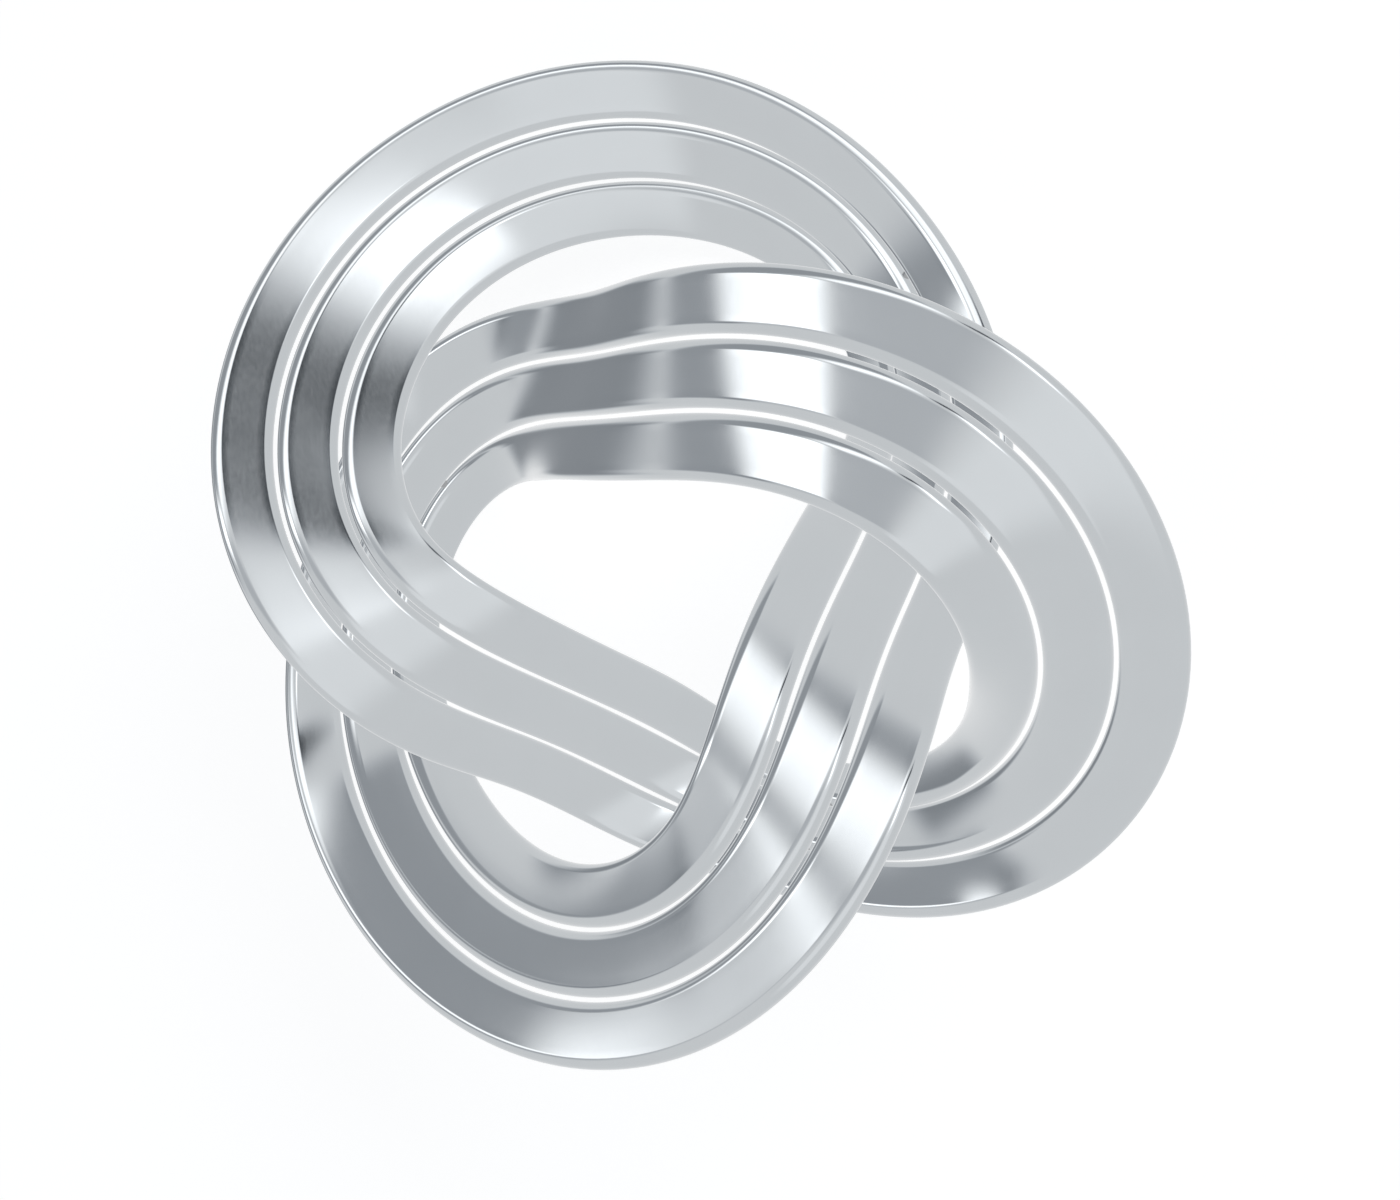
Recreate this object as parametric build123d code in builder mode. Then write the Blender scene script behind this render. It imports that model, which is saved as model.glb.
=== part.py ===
"""Polished metal knot sculpture: three parallel bars that run side by side along one three-lobed knot.

Each bar is made of three lobes, butted on dowels where the knot dips, and short studs tie each bar to
the next there. The origin is on the surface that the knot lies on, under the middle of its outline,
with +Z up and the front lobe towards -Y.
"""

import os
from math import cos, hypot, radians, sin

from build123d import *

# The knot's middle line, in millimetres and degrees of the way round one lap
knot_reach = 80.0
knot_rise = 46.0
lap = 360.0

# Waves of the plan: waves per lap, share of knot_reach, phase
plan_shares = (
    (2, 1.0, 165),
    (-1, 0.175, -120),
    (5, 0.17, 83),
    (1, 0.06, -42),
    (-2, 0.055, 144),
    (4, 0.035, -168),
    (-4, 0.015, 72),
)

# Waves of the height: waves per lap, share of knot_rise, phase
rise_shares = (
    (3, 1.0, -94),
    (2, 0.465, -75),
    (1, 0.28, 95),
    (4, 0.18, 39),
    (5, 0.08, -166),
)

# Lean of the bars out of level: a steady lean, and waves per lap, degrees, phase
steady_lean = 20.0
lean_waves = (
    (3, 16.0, 53),
    (2, 15.5, 37),
    (6, 13.0, 69),
    (1, 5.0, -43),
    (5, 4.5, -93),
)

# The three bars
bar_width = 15.0
bar_thickness = 5.6
bar_gap = 1.0
edge_radius = 2.6
bar_places = {"inner": -1, "middle": 0, "outer": 1}
gap_places = {"inner": -1, "outer": 0}

# The lobes, each from the dip before it to the dip after it
lobe_names = ("front", "left", "right")
section_step = 7.5
end_step = 2.5
foot_depth = 0.5

# Dowels inside the butt joints
dowel_diameter = 2.0
dowel_depth = 5.0
dowel_spacing = 6.0

# Studs that tie the bars side by side
stud_diameter = 2.4
stud_depth = 3.0
dowel_wall = 1.2

# Fits
pin_clearance = 0.05
hole_end_clearance = 0.2

bar_pitch = bar_width + bar_gap
stud_offset = dowel_depth + hole_end_clearance + dowel_wall + pin_clearance + stud_diameter / 2
lobe_span = lap / len(lobe_names)


def knot_point(turn):
    """Point of the middle line at a place round the lap, before the knot is set down."""
    point = Vector(0, 0, 0)
    for waves, share, phase in plan_shares:
        angle = radians(waves * turn + phase)
        point += Vector(cos(angle), sin(angle), 0) * (knot_reach * share)
    for waves, share, phase in rise_shares:
        angle = radians(waves * turn + phase)
        point += Vector(0, 0, sin(angle)) * (knot_rise * share)
    return point


def knot_heading(turn):
    """Unit vector along the middle line."""
    heading = Vector(0, 0, 0)
    for waves, share, phase in plan_shares:
        angle = radians(waves * turn + phase)
        heading += Vector(-sin(angle), cos(angle), 0) * (knot_reach * share * waves)
    for waves, share, phase in rise_shares:
        angle = radians(waves * turn + phase)
        heading += Vector(0, 0, cos(angle)) * (knot_rise * share * waves)
    return heading.normalized()


def knot_sides(turn):
    """Unit vectors across the bars and square to their broad faces, leaned out of level."""
    heading = knot_heading(turn)
    level_side = Vector(heading.Y, -heading.X, 0).normalized()
    level_face = level_side.cross(heading)
    lean = steady_lean
    for waves, size, phase in lean_waves:
        lean += size * sin(radians(waves * turn + phase))
    side = level_side * cos(radians(lean)) + level_face * sin(radians(lean))
    return side, side.cross(heading)


def half_reach(side, face, axis):
    """How far a rounded bar section reaches from its middle along an axis."""
    across = abs(side.dot(axis))
    through = abs(face.dot(axis))
    flat_across = bar_width / 2 - edge_radius
    flat_through = bar_thickness / 2 - edge_radius
    return flat_across * across + flat_through * through + edge_radius * hypot(across, through)


def knot_limits(axis):
    """Lowest and highest place of all three bars along an axis."""
    lows = []
    highs = []
    for turn in range(round(lap)):
        side, face = knot_sides(turn)
        for place in bar_places.values():
            middle = (knot_point(turn) + side * (bar_pitch * place)).dot(axis)
            lows.append(middle - half_reach(side, face, axis))
            highs.append(middle + half_reach(side, face, axis))
    return min(lows), max(highs)


# Set down on its three feet, with the middle of its outline over the origin
limits_x = knot_limits(Vector(1, 0, 0))
limits_y = knot_limits(Vector(0, 1, 0))
limits_z = knot_limits(Vector(0, 0, 1))
set_down = Vector(-sum(limits_x) / 2, -sum(limits_y) / 2, -limits_z[0] - foot_depth)


def bar_plane(turn, place):
    """Plane square to a bar, with its X across the bar and its Z along it."""
    side, _ = knot_sides(turn)
    middle = knot_point(turn) + side * (bar_pitch * place) + set_down
    return Plane(origin=middle, x_dir=side, z_dir=knot_heading(turn))


def stud_plane(turn, place):
    """Plane square to a stud, in the middle of the gap outside the bar at this place."""
    side, face = knot_sides(turn)
    middle = knot_point(turn) + side * (bar_pitch * (place + 0.5)) + set_down
    return Plane(origin=middle, x_dir=face, z_dir=side)


def stud_turns(dip, place):
    """Places of the two studs of a gap, one each side of a dip and clear of the dowels."""
    step_length = (stud_plane(dip + end_step, place).origin - stud_plane(dip, place).origin).length
    stud_shift = end_step * stud_offset / step_length
    return (dip - stud_shift, dip + stud_shift)


def section_turns(start, end):
    """Places of a lobe's sections: evenly spaced, and one more close to each end."""
    section_count = round((end - start) / section_step)
    inner_turns = [start + section_step * number for number in range(1, section_count)]
    return [start, start + end_step, *inner_turns, end - end_step, end]


os.makedirs("parts", exist_ok=True)

# Bars, one lobe at a time, lofted from dip to dip and bored for the dowels and studs
for bar_name, place in bar_places.items():
    for number, lobe_name in enumerate(lobe_names):
        start = number * lobe_span
        end = start + lobe_span
        with BuildPart() as bar_lobe:
            for turn in section_turns(start, end):
                with BuildSketch(bar_plane(turn, place)):
                    RectangleRounded(bar_width, bar_thickness, edge_radius)
            loft()
            for dip in (start, end):
                with Locations(bar_plane(dip, place)):
                    with GridLocations(dowel_spacing, 0, 2, 1):
                        Cylinder(
                            dowel_diameter / 2 + pin_clearance,
                            (dowel_depth + hole_end_clearance) * 2,
                            mode=Mode.SUBTRACT,
                        )
                for gap_place in {place - 1, place} & set(gap_places.values()):
                    for turn in stud_turns(dip, gap_place):
                        if start < turn < end:
                            with Locations(stud_plane(turn, gap_place)):
                                Cylinder(
                                    stud_diameter / 2 + pin_clearance,
                                    bar_gap + (stud_depth + hole_end_clearance) * 2,
                                    mode=Mode.SUBTRACT,
                                )
            if bar_lobe.part.bounding_box().min.Z < 0:
                split(bisect_by=Plane.XY, keep=Keep.TOP)
        node_name = f"{bar_name}_bar_{lobe_name}_lobe"
        bar_lobe.part.label = node_name
        export_step(bar_lobe.part, f"parts/{node_name}.step")

# Dowels, a pair in each butt joint, named after the lobe that starts there
for bar_name, place in bar_places.items():
    for number, lobe_name in enumerate(lobe_names):
        with BuildPart() as dowels:
            with Locations(bar_plane(number * lobe_span, place)):
                with GridLocations(dowel_spacing, 0, 2, 1):
                    Cylinder(dowel_diameter / 2, dowel_depth * 2)
        node_name = f"{bar_name}_bar_{lobe_name}_dowels"
        dowels.part.label = node_name
        export_step(dowels.part, f"parts/{node_name}.step")

# Studs, a pair across each gap at each dip
for gap_name, place in gap_places.items():
    for number, lobe_name in enumerate(lobe_names):
        with BuildPart() as studs:
            for turn in stud_turns(number * lobe_span, place):
                with Locations(stud_plane(turn, place)):
                    Cylinder(stud_diameter / 2, bar_gap + stud_depth * 2)
        node_name = f"{gap_name}_gap_{lobe_name}_studs"
        studs.part.label = node_name
        export_step(studs.part, f"parts/{node_name}.step")
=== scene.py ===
"""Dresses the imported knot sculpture: polished bars, ground pins, a pale studio floor, lamps and a camera."""

from math import cos, hypot, inf, pi, radians, sin, tan

import bpy
from bpy.props import FloatProperty, FloatVectorProperty, IntProperty, PointerProperty
from bpy.types import Operator, Panel, PropertyGroup
from mathutils import Matrix, Vector


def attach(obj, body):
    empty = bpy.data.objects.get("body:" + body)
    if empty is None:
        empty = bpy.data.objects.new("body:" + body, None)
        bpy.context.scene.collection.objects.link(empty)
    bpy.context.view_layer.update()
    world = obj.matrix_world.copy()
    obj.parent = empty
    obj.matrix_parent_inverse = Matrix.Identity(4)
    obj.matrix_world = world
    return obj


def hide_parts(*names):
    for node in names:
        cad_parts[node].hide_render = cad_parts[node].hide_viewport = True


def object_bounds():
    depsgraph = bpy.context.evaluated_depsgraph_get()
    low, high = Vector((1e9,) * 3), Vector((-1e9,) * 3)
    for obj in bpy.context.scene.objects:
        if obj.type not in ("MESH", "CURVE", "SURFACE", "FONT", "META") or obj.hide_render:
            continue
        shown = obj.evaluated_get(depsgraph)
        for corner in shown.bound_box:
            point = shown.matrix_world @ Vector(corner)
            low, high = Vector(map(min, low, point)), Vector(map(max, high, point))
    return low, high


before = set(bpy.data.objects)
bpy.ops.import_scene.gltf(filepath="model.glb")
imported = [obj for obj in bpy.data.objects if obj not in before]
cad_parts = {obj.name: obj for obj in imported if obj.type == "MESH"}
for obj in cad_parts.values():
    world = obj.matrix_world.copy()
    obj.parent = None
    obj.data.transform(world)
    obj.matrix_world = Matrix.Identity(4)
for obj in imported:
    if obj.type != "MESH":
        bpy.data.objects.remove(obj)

bl_info = {
    "name": "Polished Knot Sculpture",
    "version": (1, 0, 0),
    "blender": (4, 5, 0),
    "location": "3D View > Sidebar > Knot",
    "description": "Three polished bars side by side along a three-lobed knot, with a studio for it",
    "category": "Object",
}

cad_low, cad_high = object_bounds()

# The knot's middle line, in metres and degrees of the way round one lap
knot_reach = 0.080
knot_rise = 0.046
lap = 360.0

# Waves of the plan: waves per lap, share of knot_reach, phase
plan_shares = (
    (2, 1.0, 165),
    (-1, 0.175, -120),
    (5, 0.17, 83),
    (1, 0.06, -42),
    (-2, 0.055, 144),
    (4, 0.035, -168),
    (-4, 0.015, 72),
)

# Waves of the height: waves per lap, share of knot_rise, phase
rise_shares = (
    (3, 1.0, -94),
    (2, 0.465, -75),
    (1, 0.28, 95),
    (4, 0.18, 39),
    (5, 0.08, -166),
)

# Lean of the bars out of level: a steady lean, and waves per lap, degrees, phase
steady_lean = 20.0
lean_waves = (
    (3, 16.0, 53),
    (2, 15.5, 37),
    (6, 13.0, 69),
    (1, 5.0, -43),
    (5, 4.5, -93),
)

bar_places = {"inner": -1, "middle": 0, "outer": 1}
lobe_names = ("front", "left", "right")
lobe_span = lap / len(lobe_names)

# Degrees round the lap: how far a seam reaches into a lobe, and a small step that shows where a bar heads
seam_turn = 0.04
small_turn = 0.01

# Polish: what rubbing adds to an edge's roughness, how far the colour strays, and how scratches run
edge_smoothing = -0.06
tone_spread = 0.025
scratch_turn = (0.4, 0.7, 0.3)
scratch_stretch = (1.0, 0.12, 1.0)

# Floor and surroundings: colours, and strengths where 1 is white
white = (1.0, 1.0, 1.0, 1.0)
floor_colour = (0.5, 0.5, 0.5, 1.0)
dark_tint = (0.93, 1.0, 1.09, 1.0)
floor_glow = 0.79
surrounding_light = 0.3
darkest_reflection = 0.1

# Picture width in millimetres, and the nearest and farthest place that the camera sees, in metres
picture_width = 36.0
nearest_view = 0.01
farthest_view = 50.0

# Lamps that light the floor: name, azimuth and elevation in degrees, distance, width and height in metres,
# and strength
lamps = (
    ("key_lamp", 135, 38, 1.4, 0.9, 0.6, 2.0),
    ("fill_lamp", 320, 45, 1.4, 0.9, 0.5, 1.0),
)

# Soft boxes and grey flags that the metal reflects: name, azimuth and elevation of the middle, turn, width
# and height and softness of the edge in degrees, and how much brighter or darker than white
reflected_boxes = (
    ("back_strip_box", 186, 43, 22, 50, 18, 9, 1.0),
    ("left_strip_box", 252, 33, -66, 36, 10, 7, 1.6),
    ("right_strip_box", 123, 38, -27, 22, 13, 5, 1.2),
    ("right_slit_flag", 143, 28, -30, 6, 18, 5, -1.0),
    ("back_flag", 220, 16, -4, 108, 40, 7, -0.5),
    ("low_left_flag", 268, -30, -14, 42, 28, 8, -0.6),
    ("high_left_flag", 268, 33, -68, 40, 12, 6, -0.15),
    ("high_right_box", 76, 60, -30, 88, 42, 9, 0.2),
    ("top_flag", 191, 73, -13, 56, 28, 9, -0.25),
)


def knot_point(turn):
    """Point of the middle line at a place round the lap, before the knot is set down."""
    point = Vector((0, 0, 0))
    for waves, share, phase in plan_shares:
        angle = radians(waves * turn + phase)
        point += Vector((cos(angle), sin(angle), 0)) * (knot_reach * share)
    for waves, share, phase in rise_shares:
        angle = radians(waves * turn + phase)
        point += Vector((0, 0, sin(angle))) * (knot_rise * share)
    return point


def knot_heading(turn):
    """Unit vector along the middle line."""
    heading = Vector((0, 0, 0))
    for waves, share, phase in plan_shares:
        angle = radians(waves * turn + phase)
        heading += Vector((-sin(angle), cos(angle), 0)) * (knot_reach * share * waves)
    for waves, share, phase in rise_shares:
        angle = radians(waves * turn + phase)
        heading += Vector((0, 0, cos(angle))) * (knot_rise * share * waves)
    return heading.normalized()


def knot_sides(turn):
    """Unit vectors across the bars and square to their broad faces, leaned out of level."""
    heading = knot_heading(turn)
    level_side = Vector((heading.y, -heading.x, 0)).normalized()
    level_face = level_side.cross(heading)
    lean = steady_lean
    for waves, size, phase in lean_waves:
        lean += size * sin(radians(waves * turn + phase))
    side = level_side * cos(radians(lean)) + level_face * sin(radians(lean))
    return side, side.cross(heading)


def bar_section(turn, place):
    """Middle of a bar's section before the knot is set down, and unit vectors across and through it."""
    bars = bpy.context.scene.knot_bars
    side, face = knot_sides(turn)
    return knot_point(turn) + side * ((bars.width + bars.gap) * place), side, face


def set_down():
    """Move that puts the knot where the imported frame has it: its outline's middle over the origin."""
    low = Vector((inf, inf, inf))
    high = Vector((-inf, -inf, -inf))
    for turn in range(round(lap)):
        for place in bar_places.values():
            middle, side, face = bar_section(turn, place)
            for axis in range(3):
                reach = half_reach(abs(side[axis]), abs(face[axis]))
                low[axis] = min(low[axis], middle[axis] - reach)
                high[axis] = max(high[axis], middle[axis] + reach)
    middle = (cad_low + cad_high) / 2 - (low + high) / 2
    return Vector((middle.x, middle.y, cad_high.z - high.z))


def half_reach(across, through):
    """How far a rounded bar section reaches from its middle along an axis."""
    bars = bpy.context.scene.knot_bars
    flat_across = bars.width / 2 - bars.edge_radius
    flat_through = bars.thickness / 2 - bars.edge_radius
    return flat_across * across + flat_through * through + bars.edge_radius * hypot(across, through)


class KnotBars(PropertyGroup):
    """Sizes of the three bars."""

    width: FloatProperty(name="Bar width", description="Width of each bar", default=0.015, unit="LENGTH")
    thickness: FloatProperty(
        name="Bar thickness", description="Thickness of each bar", default=0.0056, unit="LENGTH"
    )
    gap: FloatProperty(name="Gap", description="Gap between bars", default=0.001, unit="LENGTH")
    edge_radius: FloatProperty(
        name="Edge radius", description="Radius of the rounded long edges", default=0.0026, unit="LENGTH"
    )
    seam_depth: FloatProperty(
        name="Seam depth", description="Depth of the fine line at each butt joint", default=0.00005,
        unit="LENGTH",
    )
    rows_per_lobe: IntProperty(
        name="Rows per lobe", description="Rows of faces along each lobe", default=192, min=12
    )
    steps_per_edge: IntProperty(
        name="Steps per edge", description="Faces round each rounded edge", default=8, min=2
    )
    steps_per_face: IntProperty(
        name="Steps per face", description="Faces across each flat face", default=6, min=1
    )


class KnotFinish(PropertyGroup):
    """Colours and polish of the steel."""

    steel_colour: FloatVectorProperty(
        name="Steel colour", description="Colour of the polished bars", subtype="COLOR", size=3,
        default=(0.53, 0.555, 0.575),
    )
    pin_colour: FloatVectorProperty(
        name="Pin colour", description="Colour of the ground dowels and studs", subtype="COLOR", size=3,
        default=(0.36, 0.37, 0.38),
    )
    bar_roughness: FloatProperty(
        name="Bar roughness", description="Softness of the reflections in the bars", default=0.16,
        subtype="FACTOR",
    )
    pin_roughness: FloatProperty(
        name="Pin roughness", description="Softness of the reflections in the pins", default=0.38,
        subtype="FACTOR",
    )


class KnotStudio(PropertyGroup):
    """Camera and floor."""

    camera_distance: FloatProperty(
        name="Camera distance", description="From the middle of the view", default=0.3973, unit="LENGTH"
    )
    camera_azimuth: FloatProperty(
        name="Camera azimuth", description="Round the knot from the front", default=radians(117.3),
        subtype="ANGLE",
    )
    camera_elevation: FloatProperty(
        name="Camera elevation", description="Above level", default=radians(75.2), subtype="ANGLE"
    )
    camera_roll: FloatProperty(
        name="Camera roll", description="Turn of the picture", default=radians(5.3), subtype="ANGLE"
    )
    camera_lens: FloatProperty(
        name="Lens", description="Focal length for a 36 mm wide picture", default=40.46, unit="CAMERA"
    )
    view_middle: FloatVectorProperty(
        name="View middle", description="Point that the camera looks at", subtype="XYZ", size=3,
        default=(0.0048, -0.0212, 0.0654),
    )
    floor_size: FloatProperty(
        name="Floor size", description="Side of the floor", default=12.0, unit="LENGTH"
    )


def section_ring():
    """Rounded bar section, once round: place, outward normal, and one on an edge or nought on a face."""
    bars = bpy.context.scene.knot_bars
    flat_across = bars.width / 2 - bars.edge_radius
    flat_through = bars.thickness / 2 - bars.edge_radius
    ring = []
    corners = ((1, 1), (-1, 1), (-1, -1), (1, -1))
    for number, (side_sign, face_sign) in enumerate(corners):
        for step in range(bars.steps_per_edge + 1):
            angle = pi / 2 * (number + step / bars.steps_per_edge)
            normal = Vector((cos(angle), sin(angle)))
            middle = Vector((flat_across * side_sign, flat_through * face_sign))
            ring.append((middle + normal * bars.edge_radius, normal, 1.0))
        next_side, next_face = corners[(number + 1) % len(corners)]
        start = ring[-1][0]
        end = Vector((flat_across * next_side, flat_through * next_face)) + normal * bars.edge_radius
        # Only the two broad faces are divided
        if number % 2 == 0:
            for step in range(1, bars.steps_per_face):
                ring.append((start.lerp(end, step / bars.steps_per_face), normal, 0.0))
    return ring


def lobe_mesh(name, start, place, ring, shift):
    """Closed mesh of one lobe of one bar, with the normals of the swept section and flat feet."""
    bars = bpy.context.scene.knot_bars
    turns = [start + lobe_span * row / bars.rows_per_lobe for row in range(bars.rows_per_lobe + 1)]
    turns = [turns[0], turns[0] + seam_turn, *turns[1:-1], turns[-1] - seam_turn, turns[-1]]
    vertices = []
    normals = []
    rubbed = []
    for row, turn in enumerate(turns):
        middle, side, face = bar_section(turn, place)
        next_middle, next_side, next_face = bar_section(turn + small_turn, place)
        inset = bars.seam_depth if row in (0, len(turns) - 1) else 0.0
        for offset, normal, edge in ring:
            outward = side * normal.x + face * normal.y
            surface = middle + side * offset.x + face * offset.y
            ahead = next_middle + next_side * offset.x + next_face * offset.y
            forward = (ahead - surface).normalized()
            point = surface - outward * inset + shift
            outward = (outward - forward * outward.dot(forward)).normalized()
            if point.z < 0:
                point.z = 0
                outward = Vector((0, 0, -1))
            vertices.append(point)
            normals.append(outward)
            rubbed.append(edge)
    count = len(ring)
    faces = []
    for row in range(len(turns) - 1):
        for column in range(count):
            after = (column + 1) % count
            low = row * count
            high = low + count
            faces.append((low + column, high + column, high + after, low + after))
    faces.append(tuple(range(count)))
    faces.append(tuple(reversed(range(len(vertices) - count, len(vertices)))))
    mesh = bpy.data.meshes.new(name)
    mesh.from_pydata(vertices, [], faces)
    # The two end faces are flat, all others smooth
    mesh.polygons.foreach_set("use_smooth", [True] * (len(faces) - 2) + [False] * 2)
    edge_rub = mesh.attributes.new("edge_rub", "FLOAT", "POINT")
    edge_rub.data.foreach_set("value", rubbed)
    mesh.normals_split_custom_set_from_vertices(normals)
    mesh.update()
    return mesh


def joined(tree, operation, first, second):
    """Result of a math node on two values, each a socket or a number."""
    node = tree.nodes.new("ShaderNodeMath")
    node.operation = operation
    for place, value in enumerate((first, second)):
        if isinstance(value, (int, float)):
            node.inputs[place].default_value = value
        else:
            tree.links.new(value, node.inputs[place])
    return node.outputs["Value"]


def polish_marks_group():
    """Faint marks that hand polishing leaves in metal: a roughness, a height and a tone."""
    name = "polish_marks"
    if name in bpy.data.node_groups:
        return bpy.data.node_groups[name]
    group = bpy.data.node_groups.new(name, "ShaderNodeTree")
    for socket in ("Roughness", "Unevenness", "Cloud Scale", "Scratch Scale", "Edge"):
        group.interface.new_socket(name=socket, in_out="INPUT", socket_type="NodeSocketFloat")
    for socket in ("Roughness", "Height", "Tone"):
        group.interface.new_socket(name=socket, in_out="OUTPUT", socket_type="NodeSocketFloat")
    nodes = group.nodes
    link = group.links.new
    given = nodes.new("NodeGroupInput")
    result = nodes.new("NodeGroupOutput")
    place = nodes.new("ShaderNodeTexCoord")
    cloud = nodes.new("ShaderNodeTexNoise")
    cloud.inputs["Detail"].default_value = 5.0
    cloud.inputs["Roughness"].default_value = 0.6
    link(place.outputs["Object"], cloud.inputs["Vector"])
    link(given.outputs["Cloud Scale"], cloud.inputs["Scale"])
    stretch = nodes.new("ShaderNodeMapping")
    stretch.inputs["Rotation"].default_value = scratch_turn
    stretch.inputs["Scale"].default_value = scratch_stretch
    link(place.outputs["Object"], stretch.inputs["Vector"])
    scratch = nodes.new("ShaderNodeTexNoise")
    scratch.inputs["Detail"].default_value = 3.0
    link(stretch.outputs["Vector"], scratch.inputs["Vector"])
    link(given.outputs["Scratch Scale"], scratch.inputs["Scale"])
    marks = joined(group, "ADD", cloud.outputs["Fac"], scratch.outputs["Fac"])
    uneven = joined(group, "MULTIPLY", joined(group, "SUBTRACT", marks, 1.0), given.outputs["Unevenness"])
    rubbed = joined(group, "MULTIPLY", given.outputs["Edge"], edge_smoothing)
    polish = joined(group, "ADD", rubbed, given.outputs["Roughness"])
    total = joined(group, "ADD", uneven, polish)
    total.node.use_clamp = True
    link(total, result.inputs["Roughness"])
    link(scratch.outputs["Fac"], result.inputs["Height"])
    link(cloud.outputs["Fac"], result.inputs["Tone"])
    return group


def steel_material(name, colour, roughness, unevenness, cloud_scale, scratch_scale, bump_height):
    """Solid steel with the marks of its polish."""
    material = bpy.data.materials.new(name)
    material.use_nodes = True
    nodes = material.node_tree.nodes
    link = material.node_tree.links.new
    shader = nodes["Principled BSDF"]
    shader.inputs["Metallic"].default_value = 1.0
    marks = nodes.new("ShaderNodeGroup")
    marks.node_tree = polish_marks_group()
    marks.inputs["Roughness"].default_value = roughness
    marks.inputs["Unevenness"].default_value = unevenness
    marks.inputs["Cloud Scale"].default_value = cloud_scale
    marks.inputs["Scratch Scale"].default_value = scratch_scale
    edge = nodes.new("ShaderNodeAttribute")
    edge.attribute_name = "edge_rub"
    link(edge.outputs["Fac"], marks.inputs["Edge"])
    link(marks.outputs["Roughness"], shader.inputs["Roughness"])
    tone = nodes.new("ShaderNodeMix")
    tone.data_type = "RGBA"
    tone.inputs["A"].default_value = (*(part * (1 - tone_spread) for part in colour), 1.0)
    tone.inputs["B"].default_value = (*(min(part * (1 + tone_spread), 1.0) for part in colour), 1.0)
    link(marks.outputs["Tone"], tone.inputs["Factor"])
    link(tone.outputs["Result"], shader.inputs["Base Color"])
    bump = nodes.new("ShaderNodeBump")
    bump.inputs["Strength"].default_value = 1.0
    bump.inputs["Distance"].default_value = bump_height
    link(marks.outputs["Height"], bump.inputs["Height"])
    link(bump.outputs["Normal"], shader.inputs["Normal"])
    return material


class OBJECT_OT_knot_bars(Operator):
    """Make the nine polished lobes of the three bars"""

    bl_idname = "object.knot_bars"
    bl_label = "Make Bars"

    def execute(self, context):
        finish = context.scene.knot_finish
        steel = steel_material(
            "polished_steel",
            finish.steel_colour,
            finish.bar_roughness,
            unevenness=0.05,
            cloud_scale=60.0,
            scratch_scale=1500.0,
            bump_height=0.0000004,
        )
        ring = section_ring()
        shift = set_down()
        for bar_name, place in bar_places.items():
            for number, lobe_name in enumerate(lobe_names):
                node = f"{bar_name}_bar_{lobe_name}_lobe"
                mesh = lobe_mesh(f"polished_{node}", number * lobe_span, place, ring, shift)
                mesh.materials.append(steel)
                piece = bpy.data.objects.new(mesh.name, mesh)
                piece.visible_glossy = False
                context.scene.collection.objects.link(piece)
                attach(piece, "root")
                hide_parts(node)
        return {"FINISHED"}


class OBJECT_OT_knot_pins(Operator):
    """Give the dowels and studs their ground steel finish"""

    bl_idname = "object.knot_pins"
    bl_label = "Finish Pins"

    def execute(self, context):
        finish = context.scene.knot_finish
        steel = steel_material(
            "ground_pin_steel",
            finish.pin_colour,
            finish.pin_roughness,
            unevenness=0.12,
            cloud_scale=300.0,
            scratch_scale=4000.0,
            bump_height=0.000002,
        )
        for node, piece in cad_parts.items():
            if node.endswith(("_dowels", "_studs")):
                piece.visible_glossy = False
                for material_slot in piece.material_slots:
                    material_slot.material = steel
        return {"FINISHED"}


class OBJECT_OT_knot_studio(Operator):
    """Set the pale floor, the soft lamps and the camera"""

    bl_idname = "object.knot_studio"
    bl_label = "Set Studio"

    def execute(self, context):
        scene = context.scene
        scene.view_settings.view_transform = "Standard"
        make_floor(scene)
        make_lamps(scene)
        make_world(scene)
        make_camera(scene)
        return {"FINISHED"}


def make_floor(scene):
    """Floor that looks white to the camera and keeps the knot's shadow."""
    half = scene.knot_studio.floor_size / 2
    mesh = bpy.data.meshes.new("studio_floor")
    mesh.from_pydata(
        [(-half, -half, 0), (half, -half, 0), (half, half, 0), (-half, half, 0)], [], [(0, 1, 2, 3)]
    )
    floor = bpy.data.objects.new(mesh.name, mesh)
    floor.visible_glossy = False
    scene.collection.objects.link(floor)
    material = bpy.data.materials.new("pale_floor")
    material.use_nodes = True
    tree = material.node_tree
    shader = tree.nodes["Principled BSDF"]
    shader.inputs["Base Color"].default_value = floor_colour
    shader.inputs["Roughness"].default_value = 1.0
    shader.inputs["Specular IOR Level"].default_value = 0.0
    shader.inputs["Emission Color"].default_value = white
    path = tree.nodes.new("ShaderNodeLightPath")
    glow = joined(tree, "MULTIPLY", path.outputs["Is Camera Ray"], floor_glow)
    tree.links.new(glow, shader.inputs["Emission Strength"])
    mesh.materials.append(material)


def facing(azimuth, elevation):
    """Unit vector from the knot towards a place round it, and unit vectors to the right and up there."""
    away = Vector(
        (
            sin(azimuth) * cos(elevation),
            -cos(azimuth) * cos(elevation),
            sin(elevation),
        )
    )
    right = Vector((cos(azimuth), sin(azimuth), 0))
    return away, right, away.cross(right)


def make_lamps(scene):
    """Soft lamps that light the floor and face the knot, and don't show in the metal."""
    middle = (cad_low + cad_high) / 2
    for name, azimuth, elevation, distance, width, height, strength in lamps:
        data = bpy.data.lights.new(name, "AREA")
        data.shape = "RECTANGLE"
        data.size = width
        data.size_y = height
        data.energy = strength * width * height * pi
        lamp = bpy.data.objects.new(name, data)
        lamp.visible_glossy = False
        scene.collection.objects.link(lamp)
        away, right, up = facing(radians(azimuth), radians(elevation))
        turned = Matrix((right, up, away)).transposed().to_4x4()
        lamp.matrix_world = Matrix.Translation(middle + away * distance) @ turned


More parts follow.
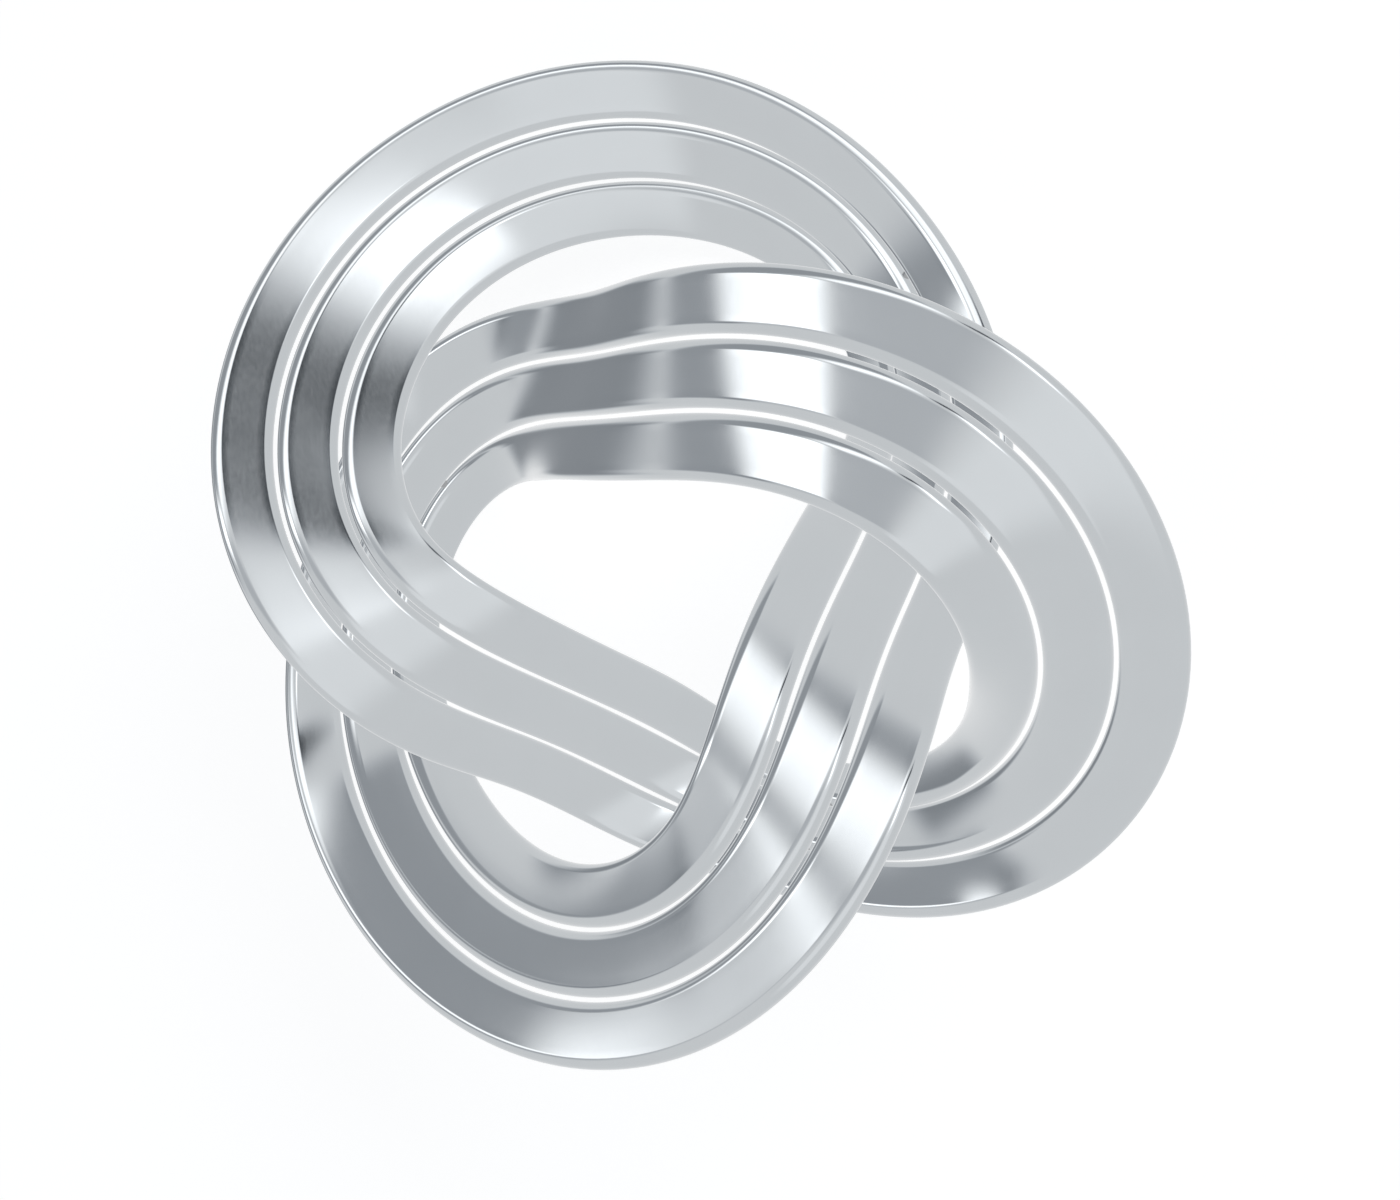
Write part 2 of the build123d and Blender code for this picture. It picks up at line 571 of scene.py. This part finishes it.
def along(tree, direction, axis):
    """How far a direction goes along an axis."""
    node = tree.nodes.new("ShaderNodeVectorMath")
    node.operation = "DOT_PRODUCT"
    tree.links.new(direction, node.inputs[0])
    node.inputs[1].default_value = axis
    return node.outputs["Value"]


def within(tree, value, half_size, softness):
    """One inside half a size each way, nought outside, with a soft edge."""
    node = tree.nodes.new("ShaderNodeMapRange")
    node.interpolation_type = "SMOOTHERSTEP"
    tree.links.new(joined(tree, "ABSOLUTE", value, 0.0), node.inputs["Value"])
    node.inputs["From Min"].default_value = tan(radians(half_size + softness))
    node.inputs["From Max"].default_value = tan(radians(max(half_size - softness, 0.0)))
    return node.outputs["Result"]


def make_world(scene):
    """White surroundings, whose soft boxes and flags show only as reflections in the metal."""
    world = bpy.data.worlds.new("white_studio")
    world.use_nodes = True
    tree = world.node_tree
    back = tree.nodes["Background"]
    direction = tree.nodes.new("ShaderNodeTexCoord").outputs["Generated"]
    reflected = 1.0
    for name, azimuth, elevation, turn, width, height, softness, change in reflected_boxes:
        away, right, up = facing(radians(azimuth), radians(elevation))
        across = right * cos(radians(turn)) + up * sin(radians(turn))
        ahead = along(tree, direction, away)
        shares = []
        for axis, size in ((across, width), (away.cross(across), height)):
            share = joined(tree, "DIVIDE", along(tree, direction, axis), ahead)
            shares.append(within(tree, share, size / 2, softness))
        mask = joined(tree, "MULTIPLY", shares[0], shares[1])
        mask = joined(tree, "MULTIPLY", mask, joined(tree, "GREATER_THAN", ahead, 0.0))
        mask.node.label = name
        reflected = joined(tree, "ADD", joined(tree, "MULTIPLY", mask, change), reflected)
    path = tree.nodes.new("ShaderNodeLightPath")
    around = joined(tree, "MAXIMUM", path.outputs["Is Camera Ray"], surrounding_light)
    choice = tree.nodes.new("ShaderNodeMix")
    tree.links.new(path.outputs["Is Glossy Ray"], choice.inputs["Factor"])
    tree.links.new(around, choice.inputs["A"])
    tree.links.new(joined(tree, "MAXIMUM", reflected, darkest_reflection), choice.inputs["B"])
    tree.links.new(choice.outputs["Result"], back.inputs["Strength"])
    tint = tree.nodes.new("ShaderNodeMix")
    tint.data_type = "RGBA"
    tint.inputs["A"].default_value = dark_tint
    tint.inputs["B"].default_value = white
    tree.links.new(choice.outputs["Result"], tint.inputs["Factor"])
    tree.links.new(tint.outputs["Result"], back.inputs["Color"])
    scene.world = world


def make_camera(scene):
    """Camera at the photograph's viewing angle."""
    studio = scene.knot_studio
    away = facing(studio.camera_azimuth, studio.camera_elevation)[0]
    up = Vector((0, 1, 0))
    up = (up - away * up.dot(away)).normalized()
    up.rotate(Matrix.Rotation(-studio.camera_roll, 3, away))
    right = up.cross(away)
    place = Vector(studio.view_middle) + away * studio.camera_distance
    data = bpy.data.cameras.new("photo_camera")
    data.lens = studio.camera_lens
    data.sensor_width = picture_width
    data.clip_start = nearest_view
    data.clip_end = farthest_view
    camera = bpy.data.objects.new("photo_camera", data)
    scene.collection.objects.link(camera)
    camera.matrix_world = Matrix.Translation(place) @ Matrix((right, up, away)).transposed().to_4x4()
    scene.camera = camera


class VIEW3D_PT_knot(Panel):
    """Sidebar panel with the knot's sizes, finish and studio, and a button for each operator"""

    bl_idname = "VIEW3D_PT_knot"
    bl_label = "Knot Sculpture"
    bl_space_type = "VIEW_3D"
    bl_region_type = "UI"
    bl_category = "Knot"

    def draw(self, context):
        layout = self.layout
        for group in (context.scene.knot_bars, context.scene.knot_finish, context.scene.knot_studio):
            column = layout.column()
            for name in group.__annotations__:
                column.prop(group, name)
        for operator in operators:
            layout.operator(operator.bl_idname)


property_groups = {"knot_bars": KnotBars, "knot_finish": KnotFinish, "knot_studio": KnotStudio}
operators = (OBJECT_OT_knot_bars, OBJECT_OT_knot_pins, OBJECT_OT_knot_studio)


def register():
    """Registers the property groups, operators and panel."""
    for name, group in property_groups.items():
        bpy.utils.register_class(group)
        setattr(bpy.types.Scene, name, PointerProperty(type=group))
    for operator in operators:
        bpy.utils.register_class(operator)
    bpy.utils.register_class(VIEW3D_PT_knot)


def unregister():
    """Takes back what register does, in the opposite order."""
    bpy.utils.unregister_class(VIEW3D_PT_knot)
    for operator in reversed(operators):
        bpy.utils.unregister_class(operator)
    for name, group in reversed(property_groups.items()):
        delattr(bpy.types.Scene, name)
        bpy.utils.unregister_class(group)


def main():
    """Makes the pieces and the studio."""
    register()
    bpy.ops.object.knot_bars()
    bpy.ops.object.knot_pins()
    bpy.ops.object.knot_studio()


if __name__ == "__main__":
    main()
